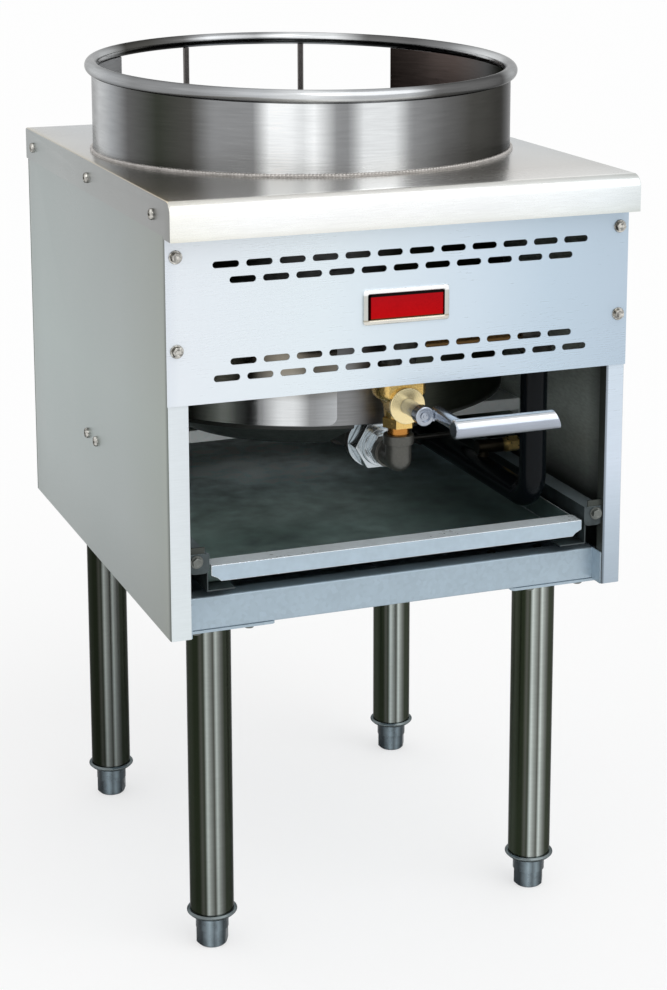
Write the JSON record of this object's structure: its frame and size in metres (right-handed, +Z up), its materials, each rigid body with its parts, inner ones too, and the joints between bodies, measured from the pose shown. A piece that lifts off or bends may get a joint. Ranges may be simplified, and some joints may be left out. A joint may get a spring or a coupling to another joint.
{
  "type": "wok range",
  "caption": "Free-standing gas wok range with a tilted collar, front lever valve, drip tray and adjustable legs.",
  "frame": {"origin": "on the floor, under the middle of the cabinet in plan, which is also the middle of the overall footprint to within a few millimetres", "axes": "+Z up, -Y towards the front with the lever, +X to the right of a person who stands in front of the range and looks at it along +Y"},
  "size_m": [0.452, 0.6567, 0.818],
  "materials": {
    "brushed_stainless": "brushed, satin",
    "collar_stainless": "brushed, heat-toned",
    "polished_stainless": "bright polished",
    "drum_steel": "plain rolled",
    "galvanised_steel": "galvanised, spangled",
    "bright_chrome": "polished",
    "red_plate": "gloss",
    "bright_fastener": "bright zinc",
    "leg_tube": "polished tube",
    "leg_insert": "satin",
    "foot_metal": "satin grey",
    "black_paint": "gloss",
    "cast_iron": "rough cast",
    "malleable_iron": "fine cast",
    "zinc_plate": "bright zinc plate",
    "brass": "machined",
    "satin_steel": "satin",
    "aluminium_tube": "drawn"
  },
  "bodies": {
    "range_body": {"deck": "brushed_stainless", "side_panel_left": "brushed_stainless", "side_panel_right": "brushed_stainless", "front_panel": "brushed_stainless", "back_panel": "galvanised_steel", "nameplate_bezel": "bright_chrome", "nameplate_insert": "red_plate", "front_rail": "galvanised_steel", "rear_rail": "galvanised_steel", "base_channel_left": "galvanised_steel", "base_channel_right": "galvanised_steel", "leg_plates": "galvanised_steel", "leg_plate_bolts": "bright_fastener", "leg_front_left": "leg_tube", "leg_front_right": "leg_tube", "leg_rear_left": "leg_tube", "leg_rear_right": "leg_tube", "leg_inserts": "leg_insert", "tray_runner_left": "galvanised_steel", "tray_runner_right": "galvanised_steel", "runner_bolts": "bright_fastener", "front_panel_bolts": "bright_fastener", "deck_screws": "bright_fastener", "cross_bar_screws": "bright_fastener", "back_panel_screws": "bright_fastener", "collar": "collar_stainless", "rim_ring": "collar_stainless", "collar_posts": "collar_stainless", "chamber_drum": "drum_steel", "heat_shield": "polished_stainless", "chamber_bowl": "black_paint", "cross_bar": "galvanised_steel", "burner_head": "cast_iron", "burner_cap": "cast_iron", "mixing_tube": "cast_iron", "orifice_fitting": "zinc_plate", "lower_elbow": "malleable_iron", "valve_nipples": "brass", "valve_body": "brass", "valve_bonnet": "brass", "upper_elbow": "malleable_iron", "manifold_pipe": "brass", "corner_elbow": "malleable_iron", "supply_pipe": "black_paint", "pipe_coupling": "malleable_iron", "inlet_pipe": "black_paint", "pilot_fitting": "brass", "pilot_tube": "aluminium_tube", "pilot_burner": "brass"},
    "drip_tray": {"drip_tray": "galvanised_steel"},
    "valve_lever": {"lever_stem": "satin_steel", "lever_hub": "satin_steel", "lever_screw": "satin_steel", "lever_arm": "satin_steel", "lever_handle": "satin_steel"},
    "air_shutter": {"air_shutter": "zinc_plate"},
    "foot_front_left": {"foot_front_left": "foot_metal"},
    "foot_front_right": {"foot_front_right": "foot_metal"},
    "foot_rear_left": {"foot_rear_left": "foot_metal"},
    "foot_rear_right": {"foot_rear_right": "foot_metal"}
  },
  "joints": [
    {"name": "drip_tray_slide", "type": "slide", "parent": "range_body", "child": "drip_tray", "axis": [0, -1, 0], "range_m": [0, 0.3]},
    {"name": "valve_lever_turn", "type": "hinge", "parent": "range_body", "child": "valve_lever", "pos_m": [0.01, -0.25, 0.5175], "axis": [0, 1, 0], "range_deg": [0, 90]},
    {"name": "air_shutter_turn", "type": "hinge", "parent": "range_body", "child": "air_shutter", "pos_m": [0.01, -0.1465, 0.4628], "axis": [0, 1, 0], "range_deg": [-40, 40]},
    {"name": "foot_front_left_screw", "type": "slide", "parent": "range_body", "child": "foot_front_left", "axis": [0, 0, -1], "range_m": [0, 0.025]},
    {"name": "foot_front_right_screw", "type": "slide", "parent": "range_body", "child": "foot_front_right", "axis": [0, 0, -1], "range_m": [0, 0.025]},
    {"name": "foot_rear_left_screw", "type": "slide", "parent": "range_body", "child": "foot_rear_left", "axis": [0, 0, -1], "range_m": [0, 0.025]},
    {"name": "foot_rear_right_screw", "type": "slide", "parent": "range_body", "child": "foot_rear_right", "axis": [0, 0, -1], "range_m": [0, 0.025]}
  ]
}
